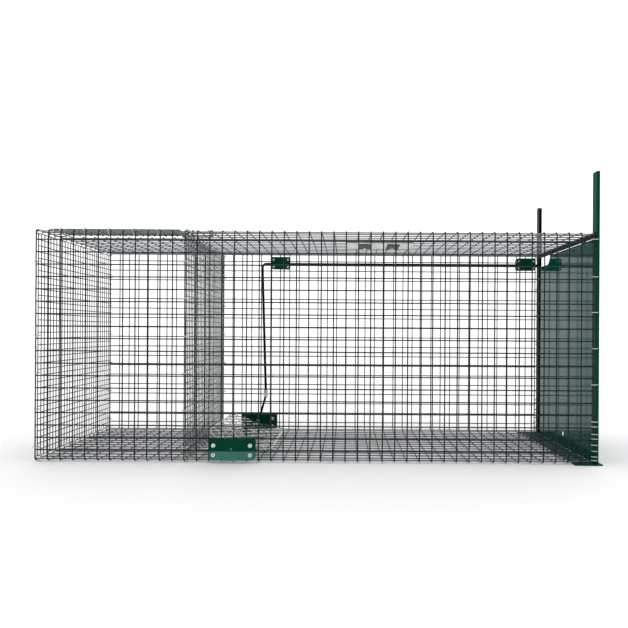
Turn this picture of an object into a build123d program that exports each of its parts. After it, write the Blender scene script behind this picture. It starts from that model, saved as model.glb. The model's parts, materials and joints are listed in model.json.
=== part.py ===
from build123d import *
import math
import os

# Wire-mesh cage trap with a drop door. The drawing frame has x = 0 at the closed end's mesh,
# y = 0 at the front mesh's outer face and z = 0 on the ground. Each part is moved to the row
# frame (origin under the middle of the whole cage) as it is written.

# ---- driving dimensions, in millimetres ----
SQUARE = 25.4                 # mesh pitch of the body
FINE_SQUARE = 12.7            # mesh pitch of the end panel, divider and hatch lid
LENGTH_SQUARES = 45
DEPTH_SQUARES = 15
LENGTH = LENGTH_SQUARES * SQUARE
DEPTH = DEPTH_SQUARES * SQUARE
HEIGHT = 475.0                # outer height of the mesh box
WIRE = 2.5
FINE_WIRE = 1.9
WELD_GAP = 0.02               # keeps touching pieces from cutting into each other
DOME_SKIRT = 0.02             # cylindrical edge of a rivet's domed head
DOME_SEAT = 0.03
RIVET_RISE = 0.22             # height of a domed head over its diameter
SHEET = 1.5                   # brackets, rails and door
MOVING_GAP = 0.5

SILL_THICKNESS = 3.0
SILL_INNER_X = 1105.0
SILL_NOSE_X = 1161.0
SILL_PROUD = 4.0

FLOOR_Z = SILL_THICKNESS + WELD_GAP
TOP_Z = FLOOR_Z + HEIGHT
MID_Z = (FLOOR_Z + TOP_Z) / 2
BEND_RADIUS = 5.0             # centreline bend of the girth wires at the folded edges
LAYER = WIRE + WELD_GAP       # distance between crossing wires
FINE_LAYER = FINE_WIRE + WELD_GAP
WIRE_END = 1.2                # how far a wire runs past the last one it crosses
SIDE_WIRE_FIRST_Z = FLOOR_Z + 22.0
SIDE_WIRE_COUNT = 18
MESH_INNER = WIRE + LAYER     # thickness of the two wire layers

DIVIDER_SQUARES = 12
PANEL_SQUARES_WIDE = 29
PANEL_SQUARES_HIGH = 36
PANEL_WIDTH = PANEL_SQUARES_WIDE * FINE_SQUARE
PANEL_HEIGHT = PANEL_SQUARES_HIGH * FINE_SQUARE
PANEL_SETBACK = 1.9           # panel's first wire layer behind its girth wire

RING_WIRE = 1.8
RING_INSET = 4.7              # ring centre, in from the mesh's outer face
RING_RADIUS = FLOOR_Z + RING_INSET - RING_WIRE / 2
END_RING_X = PANEL_SETBACK / 2 - RING_RADIUS - RING_WIRE / 2

RAIL_X = 1147.0
RAIL_WIDTH = 7.0
RAIL_DEPTH = 20.0
RAIL_HEIGHT = 600.0
CLIP_HEIGHTS = (7.0, 14.5, 26.0, 38.5, 51.0, 60.5, 76.0, 86.0, 162.0, 236.0, 310.0, 383.0, 460.0)
CLIP_INNER_X = RAIL_X - 7.1
CLIP_OUTER_X = RAIL_X + 3.5
CLIP_FRONT_Y = -RING_WIRE / 2 - WELD_GAP
CLIP_BACK_Y = 3.5
CLIP_CORNER = 1.8
LINTEL_HEIGHT = 12.0
LINTEL_THICKNESS = 2.0

DOOR_INNER_X = 1149.75
DOOR_SIDE_GAP = 5.5
DOOR_BOTTOM_Z = SILL_THICKNESS + 0.3
DOOR_TOP_Z = FLOOR_Z + 463.0
DOOR_NOTCH_Z = FLOOR_Z + 441.0
DOOR_NOTCH_WIDTH = 90.0       # cut-away at the rear top corner, under the trigger rod
DOOR_NOTCH_CORNER = 21.0
DOOR_HOLE_RADIUS = 5.5
DOOR_HOLE_Z = FLOOR_Z + 29.0

PIVOT_X = 402.0
PIVOT_Z = FLOOR_Z + 26.5
SHAFT = 5.0
SHAFT_END = 2.2               # shaft's reach past each bracket
RUNNING_GAP = 0.05
BRACKET_X = 357.0
BRACKET_LENGTH = 94.0
BRACKET_LOW_Z = FLOOR_Z + 4.0
BRACKET_HEIGHT = 44.0
BRACKET_CORNER = 5.0
HAT_WALL_INSET = 5.0          # hat's end walls, in from its top and bottom edges
BRACKET_RIVET_X = (365.4, 440.5)
BRACKET_RIVET_Z = (FLOOR_Z + 13.5, FLOOR_Z + 33.4)
BRACKET_RIVET_HEAD = 8.9
BRACKET_RIVET_SHANK = 4.8
HAT_FACE_Y = 364.0            # inner face of the raised rear bracket

TREADLE_TILT = 15.8           # degrees, door side down
TREADLE_LEFT = 70.0           # plate's reach each side of the shaft
TREADLE_RIGHT = 74.0
TREADLE_LIFT = 3.2            # underside of the plate above the shaft's axis
TREADLE_THICKNESS = 1.5
TREADLE_FRONT_Y = 40.0
TREADLE_BACK_Y = 340.0
STRAND = 2.2
DIAMONDS_LONG = 7
DIAMONDS_WIDE = 6
COLLAR_WIDTH = 4.0
COLLAR_DIAMETER = 11.0
SADDLE_INSET = 21.4           # outer saddles, in from the plate's ends
SADDLE_LENGTH = 22.0
SADDLE_WIDTH = 12.0

ROD = 6.5
ROD_Y = 370.0                 # plane in which lever, arm and trigger rod lie
ROD_Z = FLOOR_Z + 446.5
ROD_BEND = 12.0
ROD_LEFT_X = 409.2
LEVER = 6.0
LEVER_LENGTH = 70.9
SLEEVE_TOP_Z = FLOOR_Z + 107.7
SLEEVE_BOTTOM_Z = FLOOR_Z + 91.2
SLEEVE_STEP_Z = FLOOR_Z + 99.5
SLEEVE_DIAMETER = 11.2
SLEEVE_MOUTH = 9.4

GUIDE_CENTRES = (459.5, 1114.5)
GUIDE_LENGTH = 49.0
GUIDE_LOW_Z = FLOOR_Z + 433.0
GUIDE_HEIGHT = 32.0
GUIDE_CORNER = 4.0
GUIDE_ROOM = 0.3              # between the rod and the guide's face
GUIDE_RIVET_SPREAD = 19.0
GUIDE_RIVET_Z = (FLOOR_Z + 438.4, FLOOR_Z + 457.2)
GUIDE_RIVET_HEAD = 5.4
GUIDE_RIVET_SHANK = 3.2

HANDLE_X = 28 * SQUARE
HANDLE_Y = 215.0
HANDLE_Z = TOP_Z + 5.0
HANDLE_BAR = 6.0
HANDLE_HALF = 59.0            # half the distance between the bail's legs
HANDLE_BEND = 10.0
BAIL_END_REACH = 1.0          # bail's end, past the inner side of its block
HANDLE_REACH = 46.0           # pivot to grip
HANDLE_BLOCK = (16.0, 24.0, 9.5)
HANDLE_BLOCK_CROWN = 4.0
HANDLE_BLOCK_OFFSET = 33.0
HANDLE_RIVET_OFFSET = 7.5
HANDLE_BACKING_LENGTH = 29.0
HANDLE_BACKING_Y = (150.0, 227.0)
HANDLE_RIVET_SHANK = 4.0
HANDLE_RIVET_HEAD = 7.5
RIVET_SUNK = 1.2              # rivet's blind end, below the block's crown
GRIP_DIAMETER = 9.6
GRIP_LENGTH = 96.0
GRIP_ROUNDING = 1.2
GUARD_LENGTH = 155.0
GUARD_WIDTH = 97.0
GUARD_FRONT_Y = 131.0

HATCH_FIRST_GIRTH = 1
HATCH_LAST_GIRTH = 11
HATCH_FRONT_WIRE = 1
HATCH_REAR_WIRE = 4
LID_SQUARES_LONG = 21
LID_SQUARES_WIDE = 6
LID_X = 1.5 * FINE_SQUARE
LID_HINGE_Y = HATCH_FRONT_WIRE * SQUARE
LID_Y_WIRE_Z = TOP_Z + MOVING_GAP + FINE_WIRE / 2
LID_X_WIRE_Z = LID_Y_WIRE_Z + FINE_LAYER
LID_REAR_Y = LID_HINGE_Y + LID_SQUARES_WIDE * FINE_SQUARE
EDGE_BAR_LENGTH = 95.0
EDGE_BAR_WIDTH = 8.0
EDGE_BAR_THICKNESS = 2.0
EYE_HEIGHT = 9.0
EYE_THICKNESS = 3.0
EYE_INSET = 1.0
BOLT_PLAY = 1.2               # eye's hole over the bolt
KNOB_DIAMETER = 4.0
KNOB_HEIGHT = 7.5
EAR_THICKNESS = 2.5
EAR_WIDTH = 12.0
BOLT = 5.0
BOLT_Z = TOP_Z + 10.5
BOLT_X = 288.0
BOLT_LENGTH = 68.0
BOLT_KNOB_X = 328.0
BOLT_BASE_X = 292.0
BOLT_BASE_LENGTH = 48.0
BOLT_BASE_WIDTH = 13.0
BOLT_EAR_X = (293.0, 336.0)
HINGE_RING_COUNT = 5
HINGE_RING_RADIUS = 6.0

ROW_SHIFT = Location((-(SILL_NOSE_X + END_RING_X) / 2, -DEPTH / 2, 0))


def write(name, *solids):
    """Write one node, moved to the row frame."""
    shape = Compound(children=[solid.moved(ROW_SHIFT) for solid in solids])
    export_step(shape, f"parts/{name}.step")


# ---- shapes used by several pieces ----
def rod_between(start, end, diameter):
    axis = Vector(*end) - Vector(*start)
    plane = Plane(origin=start, z_dir=axis)
    return Solid.make_cylinder(diameter / 2, axis.length, plane)


def bent_rod(points, bend_radius, diameter):
    path = FilletPolyline(*points, radius=bend_radius)
    section = Plane(origin=path @ 0, z_dir=path % 0) * Circle(diameter / 2)
    return sweep(section, path=path).solid()


def ring(centre, axis, radius, wire):
    plane = Plane(origin=centre, z_dir=axis)
    return Solid.make_torus(radius, wire / 2, plane)


def block(low, high):
    size = [b - a for a, b in zip(low, high)]
    middle = [(a + b) / 2 for a, b in zip(low, high)]
    return Solid.make_box(*size, Plane(origin=(middle[0] - size[0] / 2,
                                               middle[1] - size[1] / 2,
                                               middle[2] - size[2] / 2)))


def mirror_depth(solid):
    """The same piece on the other long side of the cage."""
    return solid.mirror(Plane(origin=(0, DEPTH / 2, 0), z_dir=(0, 1, 0)))


def plate_xz(x, z, length, height, y, thickness, corner):
    """A rounded plate standing in the x-z plane with its front face at y."""
    plane = Plane(origin=(x + length / 2, y, z + height / 2), x_dir=(1, 0, 0), z_dir=(0, -1, 0))
    return extrude(plane * RectangleRounded(length, height, corner), amount=-thickness).solid()


def rivet_y(x, z, front_y, back_y, shank, head):
    """A domed rivet along y: domes stand on the outer faces front_y and back_y."""
    rise = head * RIVET_RISE
    front_seat = front_y - DOME_SEAT
    back_seat = back_y + DOME_SEAT
    body = rod_between((x, front_seat, z), (x, back_seat, z), shank)
    front = dome((x, front_seat, z), (0, -1, 0), head, rise)
    back = dome((x, back_seat, z), (0, 1, 0), head, rise)
    return fuse_all(body, front, back)


def dome(base, axis, diameter, rise):
    """A shallow spherical cap with its flat side at base, plus a thin skirt behind it."""
    half = diameter / 2
    sphere_radius = (half**2 + rise**2) / (2 * rise)
    outline = Line((0, -DOME_SKIRT), (half, -DOME_SKIRT)) + Line((half, -DOME_SKIRT), (half, 0))
    cap = RadiusArc((half, 0), (0, rise), -sphere_radius)
    profile = make_face(outline + cap + Line((0, rise), (0, -DOME_SKIRT)))
    solid = revolve(Plane.XZ * profile, axis=Axis.Z).solid()
    return solid.moved(Plane(origin=base, z_dir=axis).location)


def fuse_all(first, *others):
    result = first
    for other in others:
        result = result + other
    return result.solid()


# ---- mesh panels ----
def girth_x(index):
    return index * SQUARE


def side_wire_heights():
    return [SIDE_WIRE_FIRST_Z + SQUARE * i for i in range(SIDE_WIRE_COUNT)]


def front_mesh_panel():
    """Upright girth wires with both folded corners, and the long wires behind them."""
    outer = WIRE / 2
    turn = outer + BEND_RADIUS
    low = FLOOR_Z + outer
    high = TOP_Z - outer
    corners = [(0, turn, low), (0, outer, low), (0, outer, high), (0, turn, high)]
    girth = bent_rod(corners, BEND_RADIUS - WELD_GAP, WIRE)
    uprights = [girth.moved(Location((girth_x(i), 0, 0))) for i in range(LENGTH_SQUARES + 1)]
    y = outer + LAYER
    long_wires = [
        rod_between((-WIRE_END, y, z), (LENGTH + WIRE_END, y, z), WIRE) for z in side_wire_heights()
    ]
    return uprights + long_wires


def flat_long_wire_depths():
    """Depths of the long wires of the floor and the top; the outermost sit inside the folds."""
    edge = WIRE / 2 + BEND_RADIUS
    return [edge] + [SQUARE * i for i in range(1, DEPTH_SQUARES)] + [DEPTH - edge]


def floor_mesh_panel():
    turn = WIRE / 2 + BEND_RADIUS + WELD_GAP
    z = FLOOR_Z + WIRE / 2
    cross = [
        rod_between((girth_x(i), turn, z), (girth_x(i), DEPTH - turn, z), WIRE)
        for i in range(LENGTH_SQUARES + 1)
    ]
    long_wires = [
        rod_between((-WIRE_END, y, z + LAYER), (LENGTH + WIRE_END, y, z + LAYER), WIRE)
        for y in flat_long_wire_depths()
    ]
    return cross + long_wires


def top_mesh_panel():
    """The top, with the hatch opening left out over the bait compartment."""
    turn = WIRE / 2 + BEND_RADIUS + WELD_GAP
    z = TOP_Z - WIRE / 2
    wires = []
    for i in range(LENGTH_SQUARES + 1):
        spans = [(turn, DEPTH - turn)]
        if HATCH_FIRST_GIRTH < i < HATCH_LAST_GIRTH:
            spans = [(turn, HATCH_FRONT_WIRE * SQUARE + WIRE_END),
                     (HATCH_REAR_WIRE * SQUARE - WIRE_END, DEPTH - turn)]
        for start, end in spans:
            wires.append(rod_between((girth_x(i), start, z), (girth_x(i), end, z), WIRE))
    hatch_left = girth_x(HATCH_FIRST_GIRTH) + WIRE_END
    hatch_right = girth_x(HATCH_LAST_GIRTH) - WIRE_END
    for index, y in enumerate(flat_long_wire_depths()):
        spans = [(-WIRE_END, LENGTH + WIRE_END)]
        if HATCH_FRONT_WIRE < index < HATCH_REAR_WIRE:
            spans = [(-WIRE_END, hatch_left), (hatch_right, LENGTH + WIRE_END)]
        for start, end in spans:
            wires.append(rod_between((start, y, z - LAYER), (end, y, z - LAYER), WIRE))
    return wires


def fine_panel(girth):
    """A fine mesh wall across the cage, just on the door side of one girth wire."""
    x = girth_x(girth) + PANEL_SETBACK
    low_y = (DEPTH - PANEL_WIDTH) / 2
    low_z = MID_Z - PANEL_HEIGHT / 2
    uprights = []
    for i in range(PANEL_SQUARES_WIDE + 1):
        y = low_y + i * FINE_SQUARE
        start = (x, y, low_z - WIRE_END)
        end = (x, y, low_z + PANEL_HEIGHT + WIRE_END)
        uprights.append(rod_between(start, end, FINE_WIRE))
    levels = []
    for i in range(PANEL_SQUARES_HIGH + 1):
        z = low_z + i * FINE_SQUARE
        start = (x + FINE_LAYER, low_y - WIRE_END, z)
        end = (x + FINE_LAYER, low_y + PANEL_WIDTH + WIRE_END, z)
        levels.append(rod_between(start, end, FINE_WIRE))
    return uprights + levels


def fine_panel_rings(girth):
    """Closed wire rings that lace a fine panel to its girth wire on all four edges."""
    side_x = girth_x(girth) + PANEL_SETBACK / 2
    flat_x = girth_x(girth) + (PANEL_SETBACK + FINE_LAYER) / 2
    low_z = MID_Z - PANEL_HEIGHT / 2
    rings = []
    for square in range(1, PANEL_SQUARES_HIGH, 6):
        z = low_z + (square + 0.5) * FINE_SQUARE
        for y in (RING_INSET, DEPTH - RING_INSET):
            rings.append(ring((side_x, y, z), (0, 0, 1), RING_RADIUS, RING_WIRE))
    for square in range(0, DEPTH_SQUARES, 2):
        y = (square + 0.5) * SQUARE
        for z in (FLOOR_Z + RING_INSET, TOP_Z - RING_INSET):
            rings.append(ring((flat_x, y, z), (0, 1, 0), RING_RADIUS, RING_WIRE))
    return rings


# ---- door frame ----
def door_sill():
    strip = block((SILL_INNER_X, -SILL_PROUD, 0), (SILL_NOSE_X, DEPTH + SILL_PROUD, SILL_THICKNESS))
    nose = strip.edges().filter_by(Axis.Y).sort_by(Axis.X)[-2:]
    return fillet(nose, SILL_THICKNESS / 2 - 0.05).solid()


def front_door_rail():
    """Upright channel that opens towards the door, with holes where the clips pass."""
    top = SILL_THICKNESS + RAIL_HEIGHT
    outside = block((RAIL_X, 0, SILL_THICKNESS), (RAIL_X + RAIL_WIDTH, RAIL_DEPTH, top))
    upright = outside.edges().filter_by(Axis.Z).sort_by(Axis.Y)[:2]
    outside = fillet(upright, SHEET)
    slot_low = (RAIL_X + SHEET, SHEET, SILL_THICKNESS - 1)
    slot_high = (RAIL_X + RAIL_WIDTH - SHEET, RAIL_DEPTH + 1, top + 1)
    rail = outside - block(slot_low, slot_high)
    for height in CLIP_HEIGHTS:
        z = FLOOR_Z + height
        rail -= rod_between((CLIP_OUTER_X - 0.1, -1, z), (CLIP_OUTER_X - 0.1, SHEET + 0.5, z), 3.0)
        rail -= rod_between((RAIL_X - 1, CLIP_BACK_Y, z), (RAIL_X + SHEET + 0.5, CLIP_BACK_Y, z), 2.4)
    return rail.solid()


def rear_door_rail():
    """The same channel on the other side, with a hole that the trigger rod slides through."""
    rail = mirror_depth(front_door_rail())
    hole = rod_between((RAIL_X - 1, ROD_Y, ROD_Z), (RAIL_X + SHEET + 0.5, ROD_Y, ROD_Z), ROD + 1.4)
    return (rail - hole).solid()


def rail_clip(height):
    """A closed wire clip round the last girth wire and through the rail."""
    z = FLOOR_Z + height
    plane = Plane(origin=((CLIP_INNER_X + CLIP_OUTER_X) / 2, (CLIP_FRONT_Y + CLIP_BACK_Y) / 2, z))
    outline = plane * RectangleRounded(
        CLIP_OUTER_X - CLIP_INNER_X, CLIP_BACK_Y - CLIP_FRONT_Y, CLIP_CORNER
    )
    path = outline.face().outer_wire()
    section = Plane(origin=path @ 0, z_dir=path % 0) * Circle(RING_WIRE / 2)
    return sweep(section, path=path).solid()


def rail_clips():
    return [rail_clip(height) for height in CLIP_HEIGHTS]


def door_lintel():
    end = RAIL_X - 2 * WELD_GAP
    side = DOOR_SIDE_GAP
    return block(
        (end - LINTEL_THICKNESS, side, TOP_Z - LINTEL_HEIGHT), (end, DEPTH - side, TOP_Z)
    )


def drop_door():
    """Flat sheet that slides in the rails: a round hole near its foot, a notch for the rod."""
    low = (DOOR_INNER_X, DOOR_SIDE_GAP, DOOR_BOTTOM_Z)
    sheet = block(low, (DOOR_INNER_X + SHEET, DEPTH - DOOR_SIDE_GAP, DOOR_TOP_Z))
    sheet = fillet(sheet.edges().filter_by(Axis.X), 3.0)
    middle = DEPTH / 2
    hole_start = (DOOR_INNER_X - 1, middle, DOOR_HOLE_Z)
    hole_end = (DOOR_INNER_X + SHEET + 1, middle, DOOR_HOLE_Z)
    sheet -= rod_between(hole_start, hole_end, 2 * DOOR_HOLE_RADIUS)
    notch_low = (DOOR_INNER_X - 1, DEPTH - DOOR_SIDE_GAP - DOOR_NOTCH_WIDTH, DOOR_NOTCH_Z)
    notch = block(notch_low, (DOOR_INNER_X + SHEET + 1, DEPTH, DOOR_TOP_Z + DOOR_NOTCH_CORNER))
    inner_corner = notch.edges().filter_by(Axis.X).sort_by(Axis.Z)[:2].sort_by(Axis.Y)[:1]
    return (sheet - fillet(inner_corner, DOOR_NOTCH_CORNER)).solid()


# ---- treadle ----
def shaft_hole(plate, low_y, high_y):
    bore = rod_between((PIVOT_X, low_y - 1, PIVOT_Z), (PIVOT_X, high_y + 1, PIVOT_Z),
                       SHAFT + 2 * RUNNING_GAP)
    return plate - bore


def rivet_holes(plate, low_y, high_y, xs, zs, shank):
    for x in xs:
        for z in zs:
            plate -= rod_between((x, low_y - 1, z), (x, high_y + 1, z), shank)
    return plate


def bracket_plate(y, low_z=BRACKET_LOW_Z):
    """A bracket's flat plate with the shaft's bearing hole and four rivet holes."""
    height = BRACKET_LOW_Z + BRACKET_HEIGHT - low_z
    plate = plate_xz(BRACKET_X, low_z, BRACKET_LENGTH, height, y, SHEET, BRACKET_CORNER)
    plate = shaft_hole(plate, y, y + SHEET)
    return rivet_holes(
        plate, y, y + SHEET, BRACKET_RIVET_X, BRACKET_RIVET_Z, BRACKET_RIVET_SHANK
    ).solid()


def front_treadle_bracket():
    """Outer plate of the front bearing."""
    return bracket_plate(-SHEET - WELD_GAP)


def front_bracket_backing():
    return bracket_plate(MESH_INNER + WELD_GAP, BRACKET_LOW_Z + 3.0)


def rear_treadle_bracket():
    """A raised hat: the lever swings between its face and the back mesh."""
    face = bracket_plate(HAT_FACE_Y)
    wall_back = DEPTH - MESH_INNER - WELD_GAP
    low = BRACKET_LOW_Z + HAT_WALL_INSET
    top = BRACKET_LOW_Z + BRACKET_HEIGHT - HAT_WALL_INSET
    hat = face
    for x in (BRACKET_X, BRACKET_X + BRACKET_LENGTH - SHEET):
        hat += block((x, HAT_FACE_Y + SHEET / 2, low), (x + SHEET, wall_back, top))
    return hat.solid()


def rear_bracket_backing():
    return bracket_plate(DEPTH + WELD_GAP)


def bracket_rivets(front_y, back_y):
    return [
        rivet_y(x, z, front_y, back_y, BRACKET_RIVET_SHANK, BRACKET_RIVET_HEAD)
        for x in BRACKET_RIVET_X
        for z in BRACKET_RIVET_Z
    ]


def treadle_shaft():
    start = (PIVOT_X, -SHEET - SHAFT_END, PIVOT_Z)
    end = (PIVOT_X, DEPTH + SHEET + SHAFT_END, PIVOT_Z)
    shaft = rod_between(start, end, SHAFT)
    return chamfer(shaft.edges(), 0.6).solid()


def collar(front_y):
    """A ring on the shaft."""
    outer = rod_between(
        (PIVOT_X, front_y, PIVOT_Z), (PIVOT_X, front_y + COLLAR_WIDTH, PIVOT_Z), COLLAR_DIAMETER
    )
    bore = rod_between(
        (PIVOT_X, front_y - 1, PIVOT_Z), (PIVOT_X, front_y + COLLAR_WIDTH + 1, PIVOT_Z), SHAFT
    )
    return (outer - bore).solid()


def shaft_collars():
    """Collars just inside the two bearings keep the shaft from sliding endways."""
    front = MESH_INNER + WELD_GAP + SHEET + MOVING_GAP
    back = HAT_FACE_Y - MOVING_GAP - COLLAR_WIDTH
    return [collar(front), collar(back)]


def tilted(solid):
    """Turn a treadle piece about the shaft from level to its resting tilt."""
    axis = Axis((PIVOT_X, 0, PIVOT_Z), (0, 1, 0))
    return solid.rotate(axis, TREADLE_TILT)


def treadle_plate():
    """Expanded sheet: rows of diamonds staggered by half a diamond, with a plain rim."""
    length = TREADLE_LEFT + TREADLE_RIGHT
    width = TREADLE_BACK_Y - TREADLE_FRONT_Y
    pitch_y = width / DIAMONDS_LONG
    pitch_x = length / DIAMONDS_WIDE
    opening = [
        (pitch_x / 2 - STRAND, 0),
        (0, pitch_y / 2 - 2 * STRAND),
        (STRAND - pitch_x / 2, 0),
        (0, 2 * STRAND - pitch_y / 2),
    ]
    diamond = make_face(Polyline(*opening, close=True))
    centre_x = PIVOT_X + (TREADLE_RIGHT - TREADLE_LEFT) / 2
    centre_y = (TREADLE_FRONT_Y + TREADLE_BACK_Y) / 2
    plane = Plane(origin=(centre_x, centre_y, PIVOT_Z + TREADLE_LIFT))
    middles = [
        ((i + 0.5) * pitch_x - length / 2, (j + 0.5) * pitch_y - width / 2)
        for i in range(DIAMONDS_WIDE)
        for j in range(DIAMONDS_LONG)
    ]
    between = [
        (i * pitch_x - length / 2, j * pitch_y - width / 2)
        for i in range(1, DIAMONDS_WIDE)
        for j in range(1, DIAMONDS_LONG)
    ]
    sheet = Rectangle(length, width) - [Pos(x, y) * diamond for x, y in middles + between]
    return tilted(extrude(plane * sheet, amount=TREADLE_THICKNESS).solid())


def plate_saddles():
    """Straps that hold the plate on the shaft."""
    saddles = []
    middle = (TREADLE_FRONT_Y + TREADLE_BACK_Y) / 2
    half_x = SADDLE_LENGTH / 2
    half_y = SADDLE_WIDTH / 2
    for y in (TREADLE_FRONT_Y + SADDLE_INSET, middle, TREADLE_BACK_Y - SADDLE_INSET):
        low = (PIVOT_X - half_x, y - half_y, PIVOT_Z - SHAFT / 2 - SHEET)
        high = (PIVOT_X + half_x, y + half_y, PIVOT_Z + TREADLE_LIFT - WELD_GAP)
        body = block(low, high)
        bore_start = (PIVOT_X, y - SADDLE_WIDTH, PIVOT_Z)
        bore = rod_between(bore_start, (PIVOT_X, y + SADDLE_WIDTH, PIVOT_Z), SHAFT)
        body = fillet(body.edges().filter_by(Axis.Y).sort_by(Axis.Z)[:2], 2.5)
        saddles.append(tilted((body - bore).solid()))
    return saddles


def lever_tip():
    angle = math.radians(TREADLE_TILT)
    return (PIVOT_X + LEVER_LENGTH * math.sin(angle), PIVOT_Z + LEVER_LENGTH * math.cos(angle))


def treadle_lever():
    """Round lever square to the plate, on a hub that is pressed onto the shaft."""
    hub_low = (PIVOT_X, ROD_Y - COLLAR_WIDTH, PIVOT_Z)
    hub_high = (PIVOT_X, ROD_Y + COLLAR_WIDTH, PIVOT_Z)
    hub = rod_between(hub_low, hub_high, COLLAR_DIAMETER)
    start = (PIVOT_X, ROD_Y, PIVOT_Z)
    end = (PIVOT_X, ROD_Y, PIVOT_Z + LEVER_LENGTH)
    stem = rod_between(start, end, LEVER)
    tip = stem.edges().sort_by(Axis.Z)[-1]
    stem = fillet(tip, LEVER / 2 - 0.3)
    bore = rod_between((PIVOT_X, 0, PIVOT_Z), (PIVOT_X, DEPTH, PIVOT_Z), SHAFT)
    return tilted((hub + stem - bore).solid())


# ---- trigger rod ----
def trigger_rod():
    """One bent bar: a hanging arm at the treadle end and a long level run to the door."""
    tip_x, tip_z = lever_tip()
    slope = (tip_x - ROD_LEFT_X) / (ROD_Z - tip_z)
    arm_end_x = ROD_LEFT_X + slope * (ROD_Z - SLEEVE_STEP_Z)
    points = [
        (arm_end_x, ROD_Y, SLEEVE_STEP_Z),
        (ROD_LEFT_X, ROD_Y, ROD_Z),
        (DOOR_INNER_X - MOVING_GAP, ROD_Y, ROD_Z),
    ]
    return bent_rod(points, ROD_BEND, ROD)


def link_sleeve():
    """Soft sleeve pushed onto the arm, with a wide mouth round the lever's tip."""
    tip_x, tip_z = lever_tip()
    along = (Vector(tip_x, ROD_Y, tip_z) - Vector(ROD_LEFT_X, ROD_Y, ROD_Z)).normalized()

    def on_arm(z):
        travel = (z - ROD_Z) / along.Z
        spot = Vector(ROD_LEFT_X, ROD_Y, ROD_Z) + along * travel
        return (spot.X, spot.Y, spot.Z)

    outside = rod_between(on_arm(SLEEVE_BOTTOM_Z), on_arm(SLEEVE_TOP_Z), SLEEVE_DIAMETER)
    outside = fillet(outside.edges().filter_by(GeomType.CIRCLE), 0.6)
    mouth = rod_between(on_arm(SLEEVE_BOTTOM_Z - 1), on_arm(SLEEVE_STEP_Z), SLEEVE_MOUTH)
    bore = rod_between(on_arm(SLEEVE_STEP_Z - 1), on_arm(SLEEVE_TOP_Z + 1), ROD + 2 * WELD_GAP)
    return (outside - mouth - bore).solid()


def guide_face_y():
    return ROD_Y - ROD / 2 - GUIDE_ROOM - SHEET


def rod_guide(centre_x):
    """Shallow box on the back mesh, open behind; the rod slides through its two end walls."""
    face_y = guide_face_y()
    depth = DEPTH - MESH_INNER - WELD_GAP - face_y
    left = centre_x - GUIDE_LENGTH / 2
    right = centre_x + GUIDE_LENGTH / 2
    box = plate_xz(left, GUIDE_LOW_Z, GUIDE_LENGTH, GUIDE_HEIGHT, face_y, depth, GUIDE_CORNER)
    inner_low = (left + SHEET, face_y + SHEET, GUIDE_LOW_Z + SHEET)
    inner_high = (right - SHEET, DEPTH, GUIDE_LOW_Z + GUIDE_HEIGHT - SHEET)
    room = block(inner_low, inner_high)
    box -= fillet(room.edges().filter_by(Axis.Y), GUIDE_CORNER - SHEET)
    box -= rod_between((left - 1, ROD_Y, ROD_Z), (right + 1, ROD_Y, ROD_Z), ROD + 2 * RUNNING_GAP)
    xs = (centre_x - GUIDE_RIVET_SPREAD, centre_x + GUIDE_RIVET_SPREAD)
    return rivet_holes(box, face_y, face_y + SHEET, xs, GUIDE_RIVET_Z, GUIDE_RIVET_SHANK).solid()


def guide_backing(centre_x):
    y = DEPTH + WELD_GAP
    plate = plate_xz(
        centre_x - GUIDE_LENGTH / 2, GUIDE_LOW_Z, GUIDE_LENGTH, GUIDE_HEIGHT, y, SHEET, GUIDE_CORNER
    )
    xs = (centre_x - GUIDE_RIVET_SPREAD, centre_x + GUIDE_RIVET_SPREAD)
    return rivet_holes(plate, y, y + SHEET, xs, GUIDE_RIVET_Z, GUIDE_RIVET_SHANK).solid()


def guide_rivets():
    front_y = guide_face_y()
    back_y = DEPTH + WELD_GAP + SHEET
    return [
        rivet_y(centre + side * GUIDE_RIVET_SPREAD, z, front_y, back_y, GUIDE_RIVET_SHANK,
                GUIDE_RIVET_HEAD)
        for centre in GUIDE_CENTRES
        for side in (-1, 1)
        for z in GUIDE_RIVET_Z
    ]


# ---- carrying handle ----
def handle_rivet_places():
    return [
        (HANDLE_X + side * HANDLE_BLOCK_OFFSET, HANDLE_Y + offset)
        for side in (-1, 1)
        for offset in (-HANDLE_RIVET_OFFSET, HANDLE_RIVET_OFFSET)
    ]


def guard_top_z():
    return TOP_Z - MESH_INNER - WELD_GAP


def handle_guard():
    """Plate under the top mesh, between hand and animal; its front edge is turned up."""
    high = guard_top_z()
    low = high - SHEET
    lip_z = TOP_Z - WIRE - 2 * WELD_GAP
    back_y = GUARD_FRONT_Y + GUARD_WIDTH
    profile = Polyline(
        (GUARD_FRONT_Y, low),
        (back_y, low),
        (back_y, high),
        (GUARD_FRONT_Y + SHEET, high),
        (GUARD_FRONT_Y + SHEET, lip_z),
        (GUARD_FRONT_Y, lip_z),
        close=True,
    )
    plane = Plane(origin=(HANDLE_X - GUARD_LENGTH / 2, 0, 0), x_dir=(0, 1, 0), z_dir=(1, 0, 0))
    guard = extrude(plane * make_face(profile), amount=GUARD_LENGTH).solid()
    for x, y in handle_rivet_places():
        guard -= rod_between((x, y, low - 1), (x, y, high + 1), HANDLE_RIVET_SHANK)
    return guard.solid()


def backing_top_z():
    return guard_top_z() - SHEET - WELD_GAP


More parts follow.
